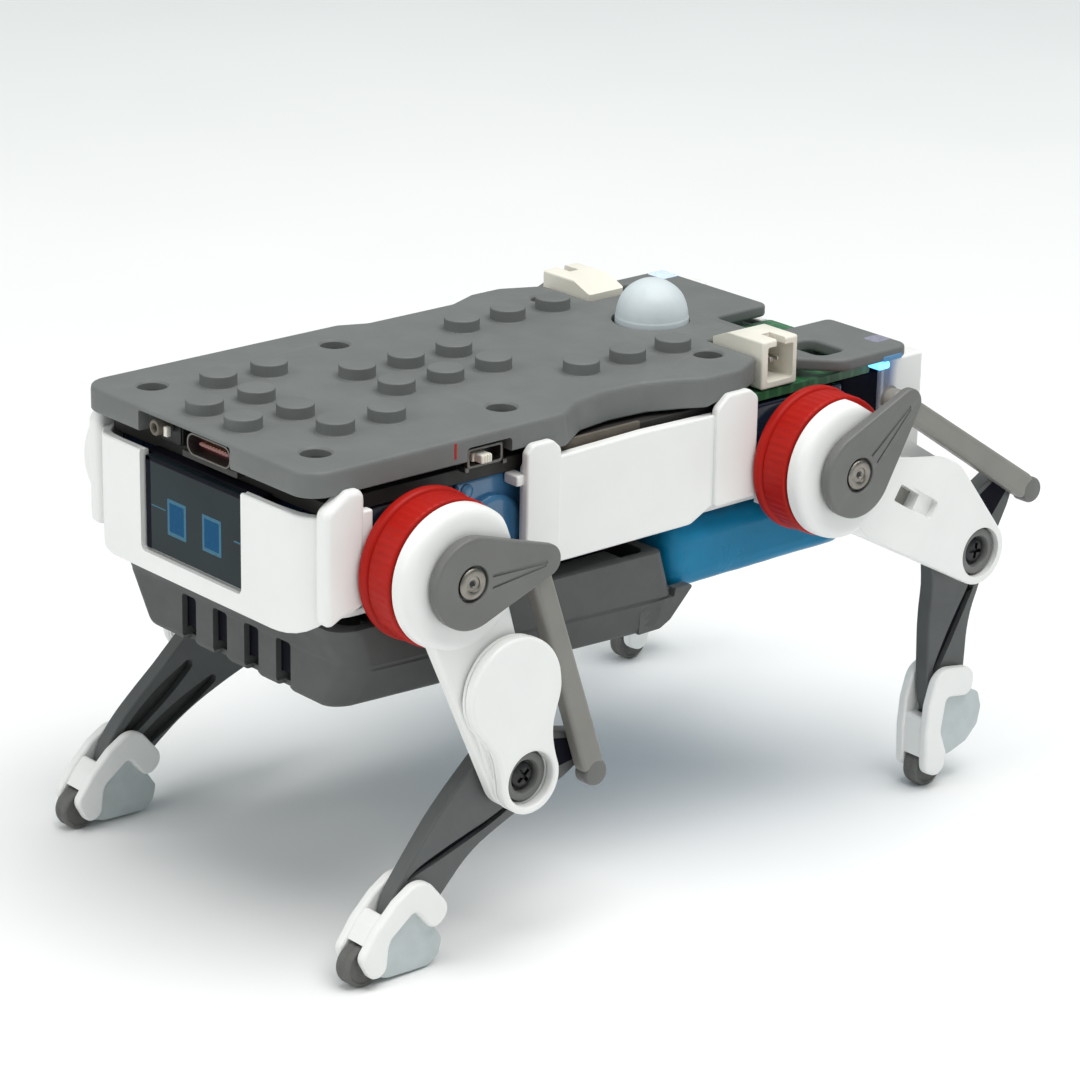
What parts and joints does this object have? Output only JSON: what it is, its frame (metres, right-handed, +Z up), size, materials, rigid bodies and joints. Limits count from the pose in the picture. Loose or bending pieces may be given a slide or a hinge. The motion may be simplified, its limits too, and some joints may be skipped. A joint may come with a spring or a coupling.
{
  "type": "four-legged walking robot kit",
  "caption": "Small quadruped walking robot: brick-stud deck over a white chassis with display face, and servo legs with red hip rings, cranks, parallel push rods and hooked feet.",
  "frame": {"origin": "on the floor under the middle of the bounding box, standing on its four toes", "axes": "+X is the robot's left, -Y its front (display face), +Z up; all hip, knee, crank and rod axes are parallel to X"},
  "size_m": [0.0718, 0.1198, 0.07],
  "materials": {
    "white_plastic": "satin moulded white plastic",
    "grey_plastic": "matt moulded mid-grey plastic",
    "dark_plastic": "matt moulded dark-grey plastic",
    "link_plastic": "matt warm-grey plastic",
    "red_plastic": "semi-gloss red plastic",
    "servo_blue": "translucent blue servo case",
    "battery_film": "blue heat-shrink film",
    "board_green": "green solder mask",
    "display_glass": "dark display glass",
    "steel": "plated steel",
    "black_steel": "black oxide steel",
    "cream_plastic": "cream nylon",
    "dome_plastic": "milky white dome",
    "rubber": "dark rubber",
    "black_plastic": "black plastic"
  },
  "bodies": {
    "body": {"chassis": "white_plastic", "top_cover": "grey_plastic", "main_board": "board_green", "bottom_tray": "dark_plastic", "battery_pack": "battery_film", "display_module": "display_glass", "usb_socket": "steel", "power_switch": "steel", "tact_switch": "black_plastic", "dome_sensor": "dome_plastic", "connector_left": "cream_plastic", "connector_right": "cream_plastic", "crank_servo_front_left": "servo_blue", "thigh_servo_front_left": "servo_blue", "crank_servo_front_right": "servo_blue", "thigh_servo_front_right": "servo_blue", "crank_servo_rear_left": "servo_blue", "thigh_servo_rear_left": "servo_blue", "crank_servo_rear_right": "servo_blue", "thigh_servo_rear_right": "servo_blue"},
    "slider": {"power_slider": "cream_plastic"},
    "button": {"push_button": "cream_plastic"},
    "upper_leg_front_left": {"hip_ring_front_left": "red_plastic", "thigh_front_left": "white_plastic", "thigh_cap_front_left": "white_plastic"},
    "crank_arm_front_left": {"crank_front_left": "link_plastic", "crank_screw_front_left": "steel"},
    "link_front_left": {"push_rod_front_left": "link_plastic"},
    "lower_leg_front_left": {"shank_front_left": "dark_plastic", "knee_screw_front_left": "black_steel", "foot_front_left": "white_plastic", "toe_pad_front_left": "rubber"},
    "upper_leg_front_right": {"hip_ring_front_right": "red_plastic", "thigh_front_right": "white_plastic", "thigh_cap_front_right": "white_plastic"},
    "crank_arm_front_right": {"crank_front_right": "link_plastic", "crank_screw_front_right": "steel"},
    "link_front_right": {"push_rod_front_right": "link_plastic"},
    "lower_leg_front_right": {"shank_front_right": "dark_plastic", "knee_screw_front_right": "black_steel", "foot_front_right": "white_plastic", "toe_pad_front_right": "rubber"},
    "upper_leg_rear_left": {"hip_ring_rear_left": "red_plastic", "thigh_rear_left": "white_plastic"},
    "crank_arm_rear_left": {"crank_rear_left": "link_plastic", "crank_screw_rear_left": "steel"},
    "link_rear_left": {"push_rod_rear_left": "link_plastic"},
    "lower_leg_rear_left": {"shank_rear_left": "dark_plastic", "knee_screw_rear_left": "black_steel", "foot_rear_left": "white_plastic", "toe_pad_rear_left": "rubber"},
    "upper_leg_rear_right": {"hip_ring_rear_right": "red_plastic", "thigh_rear_right": "white_plastic"},
    "crank_arm_rear_right": {"crank_rear_right": "link_plastic", "crank_screw_rear_right": "steel"},
    "link_rear_right": {"push_rod_rear_right": "link_plastic"},
    "lower_leg_rear_right": {"shank_rear_right": "dark_plastic", "knee_screw_rear_right": "black_steel", "foot_rear_right": "white_plastic", "toe_pad_rear_right": "rubber"}
  },
  "joints": [
    {"name": "power_slide", "type": "slide", "parent": "body", "child": "slider", "axis": [0, 1, 0], "range_m": [0, 0.0017]},
    {"name": "button_press", "type": "slide", "parent": "body", "child": "button", "axis": [0, 1, 0], "range_m": [0, 0.0005], "stiffness_N_per_m": 600},
    {"name": "hip_front_left", "type": "hinge", "parent": "body", "child": "upper_leg_front_left", "pos_m": [0.032, -0.04357, 0.05056], "axis": [1, 0, 0], "range_deg": [-45, 45]},
    {"name": "knee_front_left", "type": "hinge", "parent": "upper_leg_front_left", "child": "lower_leg_front_left", "pos_m": [0.032, -0.03426, 0.02288], "axis": [1, 0, 0], "range_deg": [-28, 45]},
    {"name": "crank_front_left", "type": "hinge", "parent": "upper_leg_front_left", "child": "crank_arm_front_left", "pos_m": [0.032, -0.04357, 0.05056], "axis": [1, 0, 0], "range_deg": [-28, 45]},
    {"name": "rod_front_left", "type": "hinge", "parent": "crank_arm_front_left", "child": "link_front_left", "pos_m": [0.032, -0.03158, 0.05013], "axis": [1, 0, 0], "range_deg": [-45, 28]},
    {"name": "hip_front_right", "type": "hinge", "parent": "body", "child": "upper_leg_front_right", "pos_m": [-0.032, -0.04357, 0.05056], "axis": [1, 0, 0], "range_deg": [-45, 45]},
    {"name": "knee_front_right", "type": "hinge", "parent": "upper_leg_front_right", "child": "lower_leg_front_right", "pos_m": [-0.032, -0.03426, 0.02288], "axis": [1, 0, 0], "range_deg": [-28, 45]},
    {"name": "crank_front_right", "type": "hinge", "parent": "upper_leg_front_right", "child": "crank_arm_front_right", "pos_m": [-0.032, -0.04357, 0.05056], "axis": [1, 0, 0], "range_deg": [-28, 45]},
    {"name": "rod_front_right", "type": "hinge", "parent": "crank_arm_front_right", "child": "link_front_right", "pos_m": [-0.032, -0.03158, 0.05013], "axis": [1, 0, 0], "range_deg": [-45, 28]},
    {"name": "hip_rear_left", "type": "hinge", "parent": "body", "child": "upper_leg_rear_left", "pos_m": [0.032, 0.02188, 0.05056], "axis": [1, 0, 0], "range_deg": [-55, 35]},
    {"name": "knee_rear_left", "type": "hinge", "parent": "upper_leg_rear_left", "child": "lower_leg_rear_left", "pos_m": [0.032, 0.04617, 0.03436], "axis": [1, 0, 0], "range_deg": [-32, 41]},
    {"name": "crank_rear_left", "type": "hinge", "parent": "upper_leg_rear_left", "child": "crank_arm_rear_left", "pos_m": [0.032, 0.02188, 0.05056], "axis": [1, 0, 0], "range_deg": [-32, 41]},
    {"name": "rod_rear_left", "type": "hinge", "parent": "crank_arm_rear_left", "child": "link_rear_left", "pos_m": [0.032, 0.03115, 0.05818], "axis": [1, 0, 0], "range_deg": [-41, 32]},
    {"name": "hip_rear_right", "type": "hinge", "parent": "body", "child": "upper_leg_rear_right", "pos_m": [-0.032, 0.02188, 0.05056], "axis": [1, 0, 0], "range_deg": [-55, 35]},
    {"name": "knee_rear_right", "type": "hinge", "parent": "upper_leg_rear_right", "child": "lower_leg_rear_right", "pos_m": [-0.032, 0.04617, 0.03436], "axis": [1, 0, 0], "range_deg": [-32, 41]},
    {"name": "crank_rear_right", "type": "hinge", "parent": "upper_leg_rear_right", "child": "crank_arm_rear_right", "pos_m": [-0.032, 0.02188, 0.05056], "axis": [1, 0, 0], "range_deg": [-32, 41]},
    {"name": "rod_rear_right", "type": "hinge", "parent": "crank_arm_rear_right", "child": "link_rear_right", "pos_m": [-0.032, 0.03115, 0.05818], "axis": [1, 0, 0], "range_deg": [-41, 32]}
  ],
  "couplings": [
    {"joint": "crank_front_left", "follows": "knee_front_left", "ratio": 1},
    {"joint": "rod_front_left", "follows": "knee_front_left", "ratio": -1},
    {"joint": "crank_front_right", "follows": "knee_front_right", "ratio": 1},
    {"joint": "rod_front_right", "follows": "knee_front_right", "ratio": -1},
    {"joint": "crank_rear_left", "follows": "knee_rear_left", "ratio": 1},
    {"joint": "rod_rear_left", "follows": "knee_rear_left", "ratio": -1},
    {"joint": "crank_rear_right", "follows": "knee_rear_right", "ratio": 1},
    {"joint": "rod_rear_right", "follows": "knee_rear_right", "ratio": -1}
  ]
}
